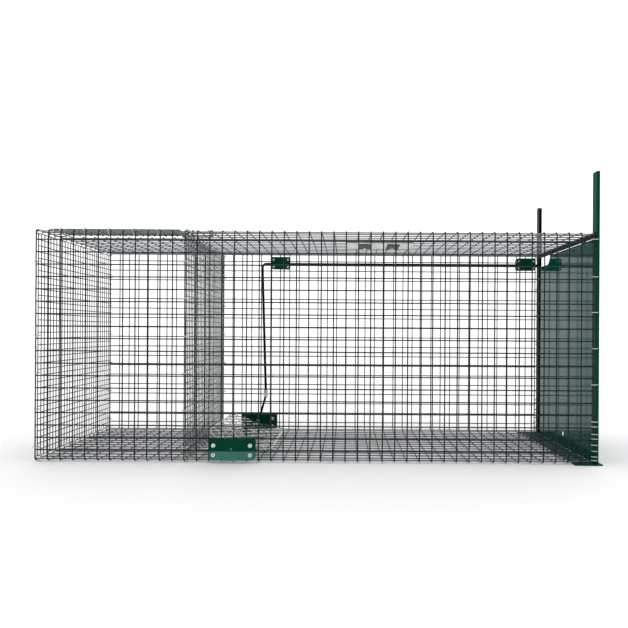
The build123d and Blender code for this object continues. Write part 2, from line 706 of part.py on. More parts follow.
def handle_backing_plate(side):
    """Strap under the guard that the rivets of one block are closed on."""
    centre_x = HANDLE_X + side * HANDLE_BLOCK_OFFSET
    half = HANDLE_BACKING_LENGTH / 2
    front_y, back_y = HANDLE_BACKING_Y
    top = backing_top_z()
    plate = block((centre_x - half, front_y, top - SHEET), (centre_x + half, back_y, top))
    plate = fillet(plate.edges().filter_by(Axis.Z), 2 * SHEET)
    for x, y in handle_rivet_places():
        if abs(x - centre_x) < half:
            plate -= rod_between((x, y, top - 2 * SHEET), (x, y, top + 1), HANDLE_RIVET_SHANK)
    return plate.solid()


def handle_bracket(side):
    """Block on the top mesh with the bail's bearing."""
    length, width, height = HANDLE_BLOCK
    centre_x = HANDLE_X + side * HANDLE_BLOCK_OFFSET
    foot_z = TOP_Z + WELD_GAP
    low = (centre_x - length / 2, HANDLE_Y - width / 2, foot_z)
    high = (centre_x + length / 2, HANDLE_Y + width / 2, foot_z + height)
    body = block(low, high)
    crown = body.edges().filter_by(Axis.X).sort_by(Axis.Z)[-2:]
    body = fillet(crown, HANDLE_BLOCK_CROWN)
    bore_start = (centre_x - length, HANDLE_Y, HANDLE_Z)
    bore_end = (centre_x + length, HANDLE_Y, HANDLE_Z)
    body -= rod_between(bore_start, bore_end, HANDLE_BAR + 2 * RUNNING_GAP)
    for x, y in handle_rivet_places():
        if abs(x - centre_x) < length:
            body -= rod_between((x, y, low[2] - 1), (x, y, high[2] + 1), HANDLE_RIVET_SHANK)
    return body.solid()


def handle_rivets():
    low = backing_top_z() - SHEET - DOME_SEAT
    high = TOP_Z + WELD_GAP + HANDLE_BLOCK[2]
    seat = high - RIVET_SUNK
    rivets = []
    for x, y in handle_rivet_places():
        shank = rod_between((x, y, low), (x, y, seat), HANDLE_RIVET_SHANK)
        foot = dome((x, y, low), (0, 0, -1), HANDLE_RIVET_HEAD, HANDLE_RIVET_HEAD * RIVET_RISE)
        rivets.append(fuse_all(shank, foot))
    return rivets


def handle_bail():
    """Bent bar: a stub in each block, two legs and the bar inside the grip."""
    stub = HANDLE_BLOCK_OFFSET - HANDLE_BLOCK[0] / 2 - BAIL_END_REACH
    grip_y = HANDLE_Y + HANDLE_REACH
    points = [
        (HANDLE_X - stub, HANDLE_Y, HANDLE_Z),
        (HANDLE_X - HANDLE_HALF, HANDLE_Y, HANDLE_Z),
        (HANDLE_X - HANDLE_HALF, grip_y, HANDLE_Z),
        (HANDLE_X + HANDLE_HALF, grip_y, HANDLE_Z),
        (HANDLE_X + HANDLE_HALF, HANDLE_Y, HANDLE_Z),
        (HANDLE_X + stub, HANDLE_Y, HANDLE_Z),
    ]
    return bent_rod(points, HANDLE_BEND, HANDLE_BAR)


def handle_grip():
    y = HANDLE_Y + HANDLE_REACH
    half = GRIP_LENGTH / 2
    outer = rod_between((HANDLE_X - half, y, HANDLE_Z), (HANDLE_X + half, y, HANDLE_Z), GRIP_DIAMETER)
    outer = fillet(outer.edges().filter_by(GeomType.CIRCLE), GRIP_ROUNDING)
    bore = rod_between(
        (HANDLE_X - half - 1, y, HANDLE_Z), (HANDLE_X + half + 1, y, HANDLE_Z), HANDLE_BAR + WELD_GAP
    )
    return (outer - bore).solid()


# ---- hatch ----
def hatch_lid():
    """Fine mesh lid that lies on the top mesh over the bait compartment."""
    length = LID_SQUARES_LONG * FINE_SQUARE
    cross = []
    for i in range(LID_SQUARES_LONG + 1):
        x = LID_X + i * FINE_SQUARE
        start = (x, LID_HINGE_Y - FINE_WIRE / 2, LID_Y_WIRE_Z)
        cross.append(rod_between(start, (x, LID_REAR_Y + WIRE_END, LID_Y_WIRE_Z), FINE_WIRE))
    long_wires = []
    for i in range(LID_SQUARES_WIDE + 1):
        y = LID_HINGE_Y + i * FINE_SQUARE
        start = (LID_X - WIRE_END, y, LID_X_WIRE_Z)
        long_wires.append(rod_between(start, (LID_X + length + WIRE_END, y, LID_X_WIRE_Z), FINE_WIRE))
    return cross + long_wires


def hatch_edge_bar():
    """Flat bar along the lid's free edge, with the eye that the bolt enters."""
    right = LID_X + LID_SQUARES_LONG * FINE_SQUARE
    low_z = LID_X_WIRE_Z + FINE_WIRE / 2 + WELD_GAP
    high_z = low_z + EDGE_BAR_THICKNESS
    low_y = LID_REAR_Y - EDGE_BAR_WIDTH / 2
    high_y = LID_REAR_Y + EDGE_BAR_WIDTH / 2
    bar = block((right - EDGE_BAR_LENGTH, low_y, low_z), (right, high_y, high_z))
    eye_right = right - EYE_INSET
    eye = block((eye_right - EYE_THICKNESS, low_y, low_z), (eye_right, high_y, high_z + EYE_HEIGHT))
    eye = fillet(eye.edges().filter_by(Axis.X).sort_by(Axis.Z)[-2:], 3.0)
    hole = rod_between((right - 10, LID_REAR_Y, BOLT_Z), (right + 10, LID_REAR_Y, BOLT_Z), BOLT + BOLT_PLAY)
    return (bar + eye - hole).solid()


def hatch_hinge_rings():
    """Rings round the lid's front wire and the long wire of the top that lies under it."""
    centre_z = (LID_X_WIRE_Z + TOP_Z - WIRE / 2 - LAYER) / 2
    rings = []
    for i in range(HINGE_RING_COUNT):
        square = 1 + 4 * i
        x = LID_X + (square + 0.5) * FINE_SQUARE
        rings.append(ring((x, LID_HINGE_Y, centre_z), (1, 0, 0), HINGE_RING_RADIUS, RING_WIRE))
    return rings


def hatch_bolt():
    """Sliding bolt with a knob standing up from it."""
    bar = rod_between((BOLT_X, LID_REAR_Y, BOLT_Z), (BOLT_X + BOLT_LENGTH, LID_REAR_Y, BOLT_Z), BOLT)
    bar = chamfer(bar.edges().filter_by(GeomType.CIRCLE), 0.8).solid()
    knob_top = (BOLT_KNOB_X, LID_REAR_Y, BOLT_Z + KNOB_HEIGHT)
    knob = rod_between((BOLT_KNOB_X, LID_REAR_Y, BOLT_Z), knob_top, KNOB_DIAMETER)
    return (bar + knob).solid()


def hatch_bolt_bracket():
    """Base strip on the top mesh with two ears that carry the bolt."""
    low_z = TOP_Z + WELD_GAP
    base_top = low_z + SHEET
    bracket = block(
        (BOLT_BASE_X, LID_REAR_Y - BOLT_BASE_WIDTH / 2, low_z),
        (BOLT_BASE_X + BOLT_BASE_LENGTH, LID_REAR_Y + BOLT_BASE_WIDTH / 2, base_top),
    )
    for x in BOLT_EAR_X:
        ear_low = (x, LID_REAR_Y - EAR_WIDTH / 2, low_z)
        ear = block(ear_low, (x + EAR_THICKNESS, LID_REAR_Y + EAR_WIDTH / 2, BOLT_Z + BOLT))
        bracket += fillet(ear.edges().filter_by(Axis.X).sort_by(Axis.Z)[-2:], 4.0)
    hole_start = (BOLT_BASE_X - 5, LID_REAR_Y, BOLT_Z)
    hole_end = (BOLT_BASE_X + BOLT_BASE_LENGTH + 5, LID_REAR_Y, BOLT_Z)
    return (bracket - rod_between(hole_start, hole_end, BOLT + 2 * RUNNING_GAP)).solid()


# ---- write every node ----
os.makedirs("parts", exist_ok=True)

front_panel = front_mesh_panel()
write("front_mesh_panel", *front_panel)
write("back_mesh_panel", *[mirror_depth(wire) for wire in front_panel])
write("floor_mesh_panel", *floor_mesh_panel())
write("top_mesh_panel", *top_mesh_panel())
write("end_mesh_panel", *fine_panel(0))
write("end_panel_rings", *fine_panel_rings(0))
write("divider_mesh_panel", *fine_panel(DIVIDER_SQUARES))
write("divider_rings", *fine_panel_rings(DIVIDER_SQUARES))

write("door_sill", door_sill())
write("front_door_rail", front_door_rail())
write("rear_door_rail", rear_door_rail())
write("front_rail_clips", *rail_clips())
write("rear_rail_clips", *[mirror_depth(clip) for clip in rail_clips()])
write("door_lintel", door_lintel())
write("drop_door", drop_door())

write("treadle_plate", treadle_plate())
write("treadle_shaft", treadle_shaft())
write("shaft_collars", *shaft_collars())
write("plate_saddles", *plate_saddles())
write("treadle_lever", treadle_lever())
write("front_treadle_bracket", front_treadle_bracket())
write("front_bracket_backing", front_bracket_backing())
write("front_bracket_rivets", *bracket_rivets(-SHEET - WELD_GAP, MESH_INNER + WELD_GAP + SHEET))
write("rear_treadle_bracket", rear_treadle_bracket())
write("rear_bracket_backing", rear_bracket_backing())
write("rear_bracket_rivets", *bracket_rivets(HAT_FACE_Y, DEPTH + WELD_GAP + SHEET))

write("trigger_rod", trigger_rod())
write("link_sleeve", link_sleeve())
write("left_rod_guide", rod_guide(GUIDE_CENTRES[0]))
write("right_rod_guide", rod_guide(GUIDE_CENTRES[1]))
write("rod_guide_backings", *[guide_backing(centre) for centre in GUIDE_CENTRES])
write("rod_guide_rivets", *guide_rivets())

write("handle_guard", handle_guard())
write("handle_brackets", handle_bracket(-1), handle_bracket(1))
write("handle_rivets", *handle_rivets())
write("handle_backing_plates", handle_backing_plate(-1), handle_backing_plate(1))
write("handle_bail", handle_bail())
write("handle_grip", handle_grip())

write("hatch_lid", *hatch_lid())
write("hatch_edge_bar", hatch_edge_bar())
write("hatch_hinge_rings", *hatch_hinge_rings())
write("hatch_bolt", hatch_bolt())
write("hatch_bolt_bracket", hatch_bolt_bracket())
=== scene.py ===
"""Looks of a wire-mesh cage trap. Metres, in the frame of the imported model."""
import json
import math
import random

import bpy
from mathutils import Matrix, Vector

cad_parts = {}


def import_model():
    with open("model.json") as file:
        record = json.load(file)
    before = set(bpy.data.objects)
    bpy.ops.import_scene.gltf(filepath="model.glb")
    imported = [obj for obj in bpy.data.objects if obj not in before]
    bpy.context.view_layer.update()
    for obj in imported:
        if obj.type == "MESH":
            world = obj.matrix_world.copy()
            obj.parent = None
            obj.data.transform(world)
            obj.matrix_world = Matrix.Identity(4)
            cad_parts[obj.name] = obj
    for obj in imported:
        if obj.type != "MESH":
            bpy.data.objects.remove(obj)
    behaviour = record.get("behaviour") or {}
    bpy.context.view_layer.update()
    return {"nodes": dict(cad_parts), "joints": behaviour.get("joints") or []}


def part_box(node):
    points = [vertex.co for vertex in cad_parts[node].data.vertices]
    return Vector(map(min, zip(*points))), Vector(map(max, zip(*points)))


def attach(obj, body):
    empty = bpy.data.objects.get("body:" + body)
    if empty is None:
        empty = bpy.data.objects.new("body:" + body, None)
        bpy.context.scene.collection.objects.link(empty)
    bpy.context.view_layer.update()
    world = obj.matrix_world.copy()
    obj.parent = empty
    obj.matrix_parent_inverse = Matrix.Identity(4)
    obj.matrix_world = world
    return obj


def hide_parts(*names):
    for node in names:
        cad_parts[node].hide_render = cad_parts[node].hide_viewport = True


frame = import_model()
random.seed(11)

# ---- driving sizes ----
MM = 0.001
SQUARE = 25.4 * MM
FINE_SQUARE = 12.7 * MM
LENGTH_SQUARES = 45
DEPTH_SQUARES = 15
LONG_WIRES = 18               # long wires of a side panel
LOWEST_LONG_WIRE = 22 * MM    # height of the lowest of them over the floor mesh
WIRE_END = 1.2 * MM           # how far a wire runs past its last crossing
WIRE_RADIUS = 1.25 * MM
FINE_RADIUS = 0.95 * MM
COATING = 0.06 * MM           # paint over the bare wires, which also closes the crossings
CROSSING_GAP = 0.02 * MM      # room between two crossing bare wires
WAVE = 0.16 * MM              # how far a wire wanders from straight
NUGGET_GROWTH = 1.25          # largest weld nugget as a part of the wire's radius
FOLD_RADIUS = 5.0 * MM        # centreline bend of a girth wire at a long edge
RING_WIRE = 0.9 * MM          # radius of ring and clip wire
RIVET_AXIS = 1                # every pop rivet points along Y
SHEET_BEVEL = 0.25 * MM
WORLD_STRENGTH = 1.25

cage_low, _ = [Vector(c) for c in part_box("front_mesh_panel")]
_, cage_high = [Vector(c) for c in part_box("back_mesh_panel")]
END_X = cage_low.x + WIRE_END            # first girth wire
FRONT_Y = cage_low.y
BACK_Y = cage_high.y
FLOOR_Z = cage_low.z
TOP_Z = cage_high.z


# ---- mesh building ----
class MeshBuilder:
    """Collects tubes, blobs and plates, then makes one object of them."""

    def __init__(self):
        self.verts = []
        self.faces = []

    def add(self, verts, faces):
        start = len(self.verts)
        self.verts.extend(verts)
        self.faces.extend([[start + i for i in face] for face in faces])

    def tube(self, points, radius, sides=8):
        """A round bar along points with flat closed ends."""
        section = [
            (math.cos(2 * math.pi * k / sides), math.sin(2 * math.pi * k / sides))
            for k in range(sides)
        ]
        self.strip(points, [(a * radius, b * radius) for a, b in section])

    def strip(self, points, section, up=None, closed=False):
        """Sweep a section along points. The section's first axis stays square to `up`."""
        points = [Vector(p) for p in points]
        count = len(points)
        verts = []
        side = None
        for i, point in enumerate(points):
            ahead = points[(i + 1) % count] if closed or i + 1 < count else point
            behind = points[i - 1] if closed or i > 0 else point
            along = (ahead - behind).normalized()
            if up is not None:
                side = Vector(up).cross(along).normalized()
            elif side is None:
                side = along.orthogonal().normalized()
            else:
                side = (side - along * side.dot(along)).normalized()
            other = along.cross(side)
            verts.extend([point + side * a + other * b for a, b in section])
        sides = len(section)
        faces = []
        for i in range(count if closed else count - 1):
            for k in range(sides):
                here = i * sides + k
                beside = i * sides + (k + 1) % sides
                after = ((i + 1) % count) * sides
                faces.append([here, beside, after + (k + 1) % sides, after + k])
        if not closed:
            faces.append(list(range(sides))[::-1])
            faces.append([(count - 1) * sides + k for k in range(sides)])
        self.add(verts, faces)

    def blob(self, centre, radii, rings=4, sides=7):
        """A small rounded lump, such as a weld nugget."""
        verts = [Vector(centre) + Vector((0, 0, -radii[2]))]
        for r in range(1, rings):
            tilt = math.pi * r / rings
            for k in range(sides):
                turn = 2 * math.pi * k / sides
                spot = Vector((
                    radii[0] * math.sin(tilt) * math.cos(turn),
                    radii[1] * math.sin(tilt) * math.sin(turn),
                    -radii[2] * math.cos(tilt),
                ))
                verts.append(Vector(centre) + spot)
        verts.append(Vector(centre) + Vector((0, 0, radii[2])))
        top = len(verts) - 1
        faces = [[0, 1 + (k + 1) % sides, 1 + k] for k in range(sides)]
        for r in range(rings - 2):
            for k in range(sides):
                low = 1 + r * sides
                faces.append([low + k, low + (k + 1) % sides,
                              low + sides + (k + 1) % sides, low + sides + k])
        last = 1 + (rings - 2) * sides
        faces.extend([[last + k, last + (k + 1) % sides, top] for k in range(sides)])
        self.add(verts, faces)

    def turned(self, base, axis, profile, sides=28):
        """Turn a profile of (radius, height) points about an axis through base."""
        axis = Vector(axis).normalized()
        side = axis.orthogonal().normalized()
        other = axis.cross(side)
        verts = []
        for radius, height in profile:
            for k in range(sides):
                turn = 2 * math.pi * k / sides
                out = side * math.cos(turn) + other * math.sin(turn)
                verts.append(Vector(base) + axis * height + out * radius)
        faces = []
        for i in range(len(profile) - 1):
            for k in range(sides):
                here = i * sides
                faces.append([here + k, here + (k + 1) % sides,
                              here + sides + (k + 1) % sides, here + sides + k])
        faces.append(list(range(sides))[::-1])
        last = (len(profile) - 1) * sides
        faces.append([last + k for k in range(sides)])
        self.add(verts, faces)

    def make(self, name, material, body, replaces=(), smooth_angle=40):
        mesh = bpy.data.meshes.new(name)
        mesh.from_pydata([tuple(v) for v in self.verts], [], self.faces)
        mesh.validate()
        mesh.materials.append(material)
        piece = bpy.data.objects.new(name, mesh)
        bpy.context.scene.collection.objects.link(piece)
        for polygon in mesh.polygons:
            polygon.use_smooth = True
        mesh.set_sharp_from_angle(angle=math.radians(smooth_angle))
        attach(piece, body)
        if replaces:
            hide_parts(*replaces)
        return piece


# ---- materials ----
def node(tree, kind, **values):
    new = tree.nodes.new(kind)
    for name, value in values.items():
        new.inputs[name.replace("_", " ")].default_value = value
    return new


def surface(name, colours, grain, roughness, bump, cloud, metallic=0.0, coat=0.0,
            coat_roughness=0.05, specular=0.5):
    """A procedural finish: cloudy colour, uneven roughness and a fine bump.

    colours are the dark and light end of the base colour, grain and cloud the fine and coarse
    noise in cells per metre, roughness its lowest and highest value and bump its height in
    metres.
    """
    material = bpy.data.materials.new(name)
    material.use_nodes = True
    tree = material.node_tree
    shader = tree.nodes["Principled BSDF"]
    place = tree.nodes.new("ShaderNodeTexCoord")
    link = tree.links.new

    clouds = node(tree, "ShaderNodeTexNoise", Scale=cloud, Detail=4.0, Roughness=0.6)
    fine = node(tree, "ShaderNodeTexNoise", Scale=grain, Detail=3.0, Roughness=0.55)
    link(place.outputs["Object"], clouds.inputs["Vector"])
    link(place.outputs["Object"], fine.inputs["Vector"])

    ramp = tree.nodes.new("ShaderNodeValToRGB")
    ramp.color_ramp.elements[0].position = 0.3
    ramp.color_ramp.elements[1].position = 0.72
    ramp.color_ramp.elements[0].color = (*colours[0], 1)
    ramp.color_ramp.elements[1].color = (*colours[1], 1)
    link(clouds.outputs["Fac"], ramp.inputs["Fac"])
    link(ramp.outputs["Color"], shader.inputs["Base Color"])

    spread = tree.nodes.new("ShaderNodeMapRange")
    spread.inputs["From Min"].default_value = 0.3
    spread.inputs["From Max"].default_value = 0.7
    spread.inputs["To Min"].default_value = roughness[0]
    spread.inputs["To Max"].default_value = roughness[1]
    link(fine.outputs["Fac"], spread.inputs["Value"])
    link(spread.outputs["Result"], shader.inputs["Roughness"])

    relief = tree.nodes.new("ShaderNodeBump")
    relief.inputs["Strength"].default_value = 1.0
    relief.inputs["Distance"].default_value = bump
    link(fine.outputs["Fac"], relief.inputs["Height"])
    link(relief.outputs["Normal"], shader.inputs["Normal"])

    shader.inputs["Metallic"].default_value = metallic
    shader.inputs["Specular IOR Level"].default_value = specular
    shader.inputs["Coat Weight"].default_value = coat
    shader.inputs["Coat Roughness"].default_value = coat_roughness
    return material


# lit_wire_coating and lit_green_paint stand for the same paints as wire_coating and green_paint,
# made
# lighter as painted light: they paint in the light and the white floor's reflection that fall on
# the flat wires, the bent foot and the shaft, to make up for the plain light of this studio.
WIRE_COAT = surface("wire_coating", ((0.001, 0.005, 0.006), (0.005, 0.015, 0.018)), 900,
                    (0.26, 0.45), 0.00002, coat=0.1, coat_roughness=0.2, cloud=30, specular=0.25)
LIT_FLAT_COAT = surface("lit_wire_coating", ((0.075, 0.085, 0.1), (0.17, 0.185, 0.215)), 900,
                    (0.2, 0.4), 0.00002, coat=0.7, coat_roughness=0.1, cloud=30)
DIVIDER_COAT = surface("divider_wire_coating", ((0.003, 0.022, 0.026), (0.012, 0.06, 0.068)), 900,
                       (0.26, 0.45), 0.00002, coat=0.25, coat_roughness=0.2, cloud=30)
GREEN = surface("green_paint", ((0.0002, 0.052, 0.024), (0.0006, 0.066, 0.033)), 500,
                (0.35, 0.5), 0.000004, cloud=14, specular=0.03)
LIT_FOOT_GREEN = surface("lit_green_paint", ((0.052, 0.19, 0.15), (0.066, 0.215, 0.175)), 500,
                     (0.35, 0.5), 0.000004, cloud=14, specular=0.03)
DOOR_GREEN = surface("door_paint", ((0.0004, 0.058, 0.047), (0.0008, 0.07, 0.058)), 160,
                     (0.05, 0.09), 0.000002, cloud=8, specular=0.21)
TREADLE_GREEN = surface("treadle_paint", ((0.004, 0.02, 0.014), (0.012, 0.046, 0.034)), 700,
                        (0.12, 0.28), 0.00003, coat=1.0, coat_roughness=0.06, cloud=40)
HATCH_COAT = surface("hatch_wire_coating", ((0.003, 0.03, 0.026), (0.01, 0.055, 0.048)), 900,
                     (0.26, 0.45), 0.00002, coat=0.25, coat_roughness=0.2, cloud=30)
# Dark paint, also used as painted shade on the rear door rail and the door lintel.
DARK_PAINT_AND_SHADE = surface("dark_paint", ((0.001, 0.004, 0.004), (0.003, 0.009, 0.009)), 600,
               (0.35, 0.5), 0.00001, cloud=25, specular=0.08)
# Zinc of rings, clips, collars and rivets; on the handle guard it is a painted reflection of the
# white floor.
ZINC_AND_FLOOR_REFLECTION = surface("galvanised_wire_and_floor_reflection", ((0.55, 0.57, 0.56), (0.82, 0.83, 0.8)), 1200,
               (0.3, 0.5), 0.00003, metallic=1.0, cloud=260)
ALUMINIUM = surface("bright_aluminium", ((0.78, 0.78, 0.78), (0.93, 0.93, 0.93)), 900,
                    (0.28, 0.42), 0.00001, metallic=1.0, cloud=120)
LINK_WHITE = surface("white_rubber", ((0.9, 0.9, 0.88), (0.97, 0.97, 0.95)), 900,
                     (0.55, 0.7), 0.00004, cloud=120)
GRIP_BLACK = surface("grip_rubber", ((0.006, 0.006, 0.006), (0.015, 0.015, 0.016)), 1500,
                     (0.5, 0.7), 0.00006, cloud=90)


def repaint(material, *nodes):
    """Give CAD nodes whose shape stays a procedural finish."""
    for name in nodes:
        piece = frame["nodes"][name]
        piece.data.materials.clear()
        piece.data.materials.append(material)


# ---- welded mesh ----
def wander():
    """How far one point of a wire lies beside the straight line."""
    return random.uniform(-WAVE, WAVE)


def welded_wire(mesh, start, end, step, radius, across):
    """A nearly straight wire; `across` is the direction in which it may wander freely."""
    start = Vector(start)
    end = Vector(end)
    count = max(2, round((end - start).length / step))
    across = Vector(across)
    points = []
    for i in range(count + 1):
        shift = wander() if 0 < i < count else 0.0
        points.append(start.lerp(end, i / count) + across * shift)
    mesh.tube(points, radius)


def nugget(mesh, centre, radius):
    """Weld metal squeezed out where two wires cross."""
    radii = [radius * random.uniform(1.0, NUGGET_GROWTH) for _ in range(3)]
    mesh.blob(centre, radii)


def folded_wire(x, y_outer, inward):
    """Centreline of a girth wire with its two quarter bends."""
    turn = WIRE_RADIUS + FOLD_RADIUS
    straight_low = FLOOR_Z + turn
    straight_span = TOP_Z - FLOOR_Z - 2 * turn
    y = y_outer + inward * WIRE_RADIUS
    bend_steps = 4
    straight_steps = 18
    points = []
    for k in range(bend_steps + 1):
        angle = math.pi / 2 * k / bend_steps
        points.append((x, y_outer + inward * (turn - FOLD_RADIUS * math.sin(angle)),
                       FLOOR_Z + turn - FOLD_RADIUS * math.cos(angle)))
    for k in range(1, straight_steps):
        points.append((x + wander(), y, straight_low + straight_span * k / straight_steps))
    for k in range(bend_steps + 1):
        angle = math.pi / 2 * (1 - k / bend_steps)
        points.append((x, y_outer + inward * (turn - FOLD_RADIUS * math.sin(angle)),
                       TOP_Z - turn + FOLD_RADIUS * math.cos(angle)))
    return points


def side_wire_heights():
    """Heights of a side panel's long wires."""
    return [FLOOR_Z + LOWEST_LONG_WIRE + SQUARE * i for i in range(LONG_WIRES)]


def side_panel(name, y_outer, inward):
    """Long side: upright girth wires outside, long wires behind them."""
    mesh = MeshBuilder()
    radius = WIRE_RADIUS + COATING
    y_long = y_outer + inward * (3 * WIRE_RADIUS + CROSSING_GAP)
    for i in range(LENGTH_SQUARES + 1):
        x = END_X + i * SQUARE
        mesh.tube(folded_wire(x, y_outer, inward), radius)
        for z in side_wire_heights():
            nugget(mesh, (x, y_outer + inward * 2 * WIRE_RADIUS, z), WIRE_RADIUS)
    for z in side_wire_heights():
        start = (END_X - WIRE_END, y_long, z)
        end = (END_X + LENGTH_SQUARES * SQUARE + WIRE_END, y_long, z)
        welded_wire(mesh, start, end, SQUARE, radius, (0, 0, 1))
    mesh.make(name + "_wires", WIRE_COAT, "cage", [name])


def flat_wire_depths():
    """Depths of the floor's and top's long wires; the outer two stand at the bends."""
    edge = WIRE_RADIUS + FOLD_RADIUS
    inner = [FRONT_Y + SQUARE * i for i in range(1, DEPTH_SQUARES)]
    return [FRONT_Y + edge] + inner + [BACK_Y - edge]


def flat_panel(name, z_outer, inward, hatch=None):
    """Floor or top. hatch is (first girth, last girth, front wire, rear wire) of an opening."""
    mesh = MeshBuilder()
    radius = WIRE_RADIUS + COATING
    turn = WIRE_RADIUS + FOLD_RADIUS
    z_girth = z_outer + inward * WIRE_RADIUS
    z_long = z_outer + inward * (3 * WIRE_RADIUS + CROSSING_GAP)
    depths = flat_wire_depths()

    def in_hatch(i, j):
        return hatch and hatch[0] < i < hatch[1] and hatch[2] < j < hatch[3]

    for i in range(LENGTH_SQUARES + 1):
        x = END_X + i * SQUARE
        spans = [(FRONT_Y + turn, BACK_Y - turn)]
        if hatch and hatch[0] < i < hatch[1]:
            spans = [(FRONT_Y + turn, FRONT_Y + hatch[2] * SQUARE + WIRE_END),
                     (FRONT_Y + hatch[3] * SQUARE - WIRE_END, BACK_Y - turn)]
        for start, end in spans:
            welded_wire(mesh, (x, start, z_girth), (x, end, z_girth), SQUARE, radius, (1, 0, 0))
        for j, y in enumerate(depths):
            if not in_hatch(i, j):
                nugget(mesh, (x, y, z_outer + inward * 2 * WIRE_RADIUS), WIRE_RADIUS)
    left = END_X - WIRE_END
    right = END_X + LENGTH_SQUARES * SQUARE + WIRE_END
    for j, y in enumerate(depths):
        spans = [(left, right)]
        if hatch and hatch[2] < j < hatch[3]:
            spans = [(left, END_X + hatch[0] * SQUARE + WIRE_END),
                     (END_X + hatch[1] * SQUARE - WIRE_END, right)]
        for start, end in spans:
            welded_wire(mesh, (start, y, z_long), (end, y, z_long), SQUARE, radius, (0, 1, 0))
    # Floor and top wires get lit_wire_coating: painted light, the lit copy of the wire coat.
    mesh.make(name + "_wires", LIT_FLAT_COAT, "cage", [name])


def fine_panel(name, coat):
    """Fine mesh wall across the cage."""
    low, high = [Vector(c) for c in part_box(name)]
    mesh = MeshBuilder()
    radius = FINE_RADIUS + COATING
    x_upright = low.x + FINE_RADIUS
    x_level = high.x - FINE_RADIUS
    wide = round((high.y - low.y - 2 * WIRE_END) / FINE_SQUARE)
    tall = round((high.z - low.z - 2 * WIRE_END) / FINE_SQUARE)
    for i in range(wide + 1):
        y = low.y + WIRE_END + i * FINE_SQUARE
        welded_wire(mesh, (x_upright, y, low.z), (x_upright, y, high.z), SQUARE, radius,
                    (0, 1, 0))
        for j in range(tall + 1):
            z = low.z + WIRE_END + j * FINE_SQUARE
            nugget(mesh, ((x_upright + x_level) / 2, y, z), FINE_RADIUS)
    for j in range(tall + 1):
        z = low.z + WIRE_END + j * FINE_SQUARE
        welded_wire(mesh, (x_level, low.y, z), (x_level, high.y, z), SQUARE, radius, (0, 0, 1))
    mesh.make(name + "_wires", coat, "cage", [name])


def hatch_lid():
    """Fine mesh lid; its long wires lie on top."""
    low, high = [Vector(c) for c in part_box("hatch_lid")]
    mesh = MeshBuilder()
    radius = FINE_RADIUS + COATING
    z_cross = low.z + FINE_RADIUS
    z_long = high.z - FINE_RADIUS
    first_x = low.x + WIRE_END
    first_y = low.y + FINE_RADIUS
    long_count = round((high.x - low.x - 2 * WIRE_END) / FINE_SQUARE)
    wide_count = round((high.y - low.y - WIRE_END - FINE_RADIUS) / FINE_SQUARE)
    for i in range(long_count + 1):
        x = first_x + i * FINE_SQUARE
        welded_wire(mesh, (x, low.y, z_cross), (x, high.y, z_cross), SQUARE, radius, (1, 0, 0))
        for j in range(wide_count + 1):
            y = first_y + j * FINE_SQUARE
            nugget(mesh, (x, y, (z_cross + z_long) / 2), FINE_RADIUS)
    for j in range(wide_count + 1):
        y = first_y + j * FINE_SQUARE
        welded_wire(mesh, (low.x, y, z_long), (high.x, y, z_long), SQUARE, radius, (0, 1, 0))
    mesh.make("hatch_lid_wires", HATCH_COAT, "hatch", ["hatch_lid"])


# ---- rings, clips and rivets ----
def solids_of(name):
    """Centre, lowest and highest corner of each separate solid of a CAD node."""
    mesh = frame["nodes"][name].data
    parent = list(range(len(mesh.vertices)))

    def root(i):
        while parent[i] != i:
            parent[i] = parent[parent[i]]
            i = parent[i]
        return i

    keys = {}
    for vertex in mesh.vertices:
        key = tuple(round(c, 7) for c in vertex.co)
        if key in keys:
            parent[root(vertex.index)] = root(keys[key])
        else:
            keys[key] = vertex.index
    for edge in mesh.edges:
        a, b = [root(i) for i in edge.vertices]
        parent[a] = b
    groups = {}
    for vertex in mesh.vertices:
        groups.setdefault(root(vertex.index), []).append(vertex.co)
    boxes = []
    for spots in groups.values():
        low = Vector([min(s[k] for s in spots) for k in range(3)])
        high = Vector([max(s[k] for s in spots) for k in range(3)])
        boxes.append(((low + high) / 2, low, high))
    return boxes


def lacing_rings(name, piece_name):
    """Open wire rings with overlapping ends, each squeezed a little differently."""
    steps = 26
    wire_turn = math.radians(375)     # a little over one turn, so that the ends overlap
    end_offset = 1.029 * RING_WIRE    # how far each end is bent aside to pass the other
    most_squeeze = 0.05
    mesh = MeshBuilder()
    for centre, low, high in solids_of(name):
        size = high - low
        axis = min(range(3), key=lambda k: size[k])
        first, second = [k for k in range(3) if k != axis]
        reach = size[first] / 2 - RING_WIRE
        opening = random.uniform(0, 2 * math.pi)
        squeeze = random.uniform(0.0, most_squeeze)
        points = []
        for k in range(steps + 1):
            turn = opening + wire_turn * k / steps
            spot = Vector(centre)
            spot[first] += reach * (1 - squeeze) * math.cos(turn)
            spot[second] += reach * math.sin(turn)
            spot[axis] += end_offset * (2 * k / steps - 1)
            points.append(spot)
        mesh.tube(points, RING_WIRE, sides=10)
    mesh.make(piece_name, ZINC_AND_FLOOR_REFLECTION, "cage", [name])


def rail_clips(name, piece_name):
    """Flattened wire clips: a bar over the rail's face and ends that lap behind the girth wire."""
    corner = 1.7 * MM
    corner_steps = 4
    most_tilt = 0.05
    mesh = MeshBuilder()
    for centre, low, high in solids_of(name):
        half_x = (high.x - low.x) / 2 - RING_WIRE
        half_y = (high.y - low.y) / 2 - RING_WIRE
        tilt = random.uniform(-most_tilt, most_tilt)
        outline = []
        for quarter, (sx, sy) in enumerate([(1, 1), (-1, 1), (-1, -1), (1, -1)]):
            for k in range(corner_steps + 1):
                turn = math.pi / 2 * (quarter + k / corner_steps)
                outline.append((sx * (half_x - corner) + corner * math.cos(turn),
                                sy * (half_y - corner) + corner * math.sin(turn)))
        outline.append(outline[0])
        points = [(centre.x + a, centre.y + b, centre.z + a * tilt) for a, b in outline]
        mesh.tube(points, RING_WIRE, sides=10)
    mesh.make(piece_name, ZINC_AND_FLOOR_REFLECTION, "cage", [name])


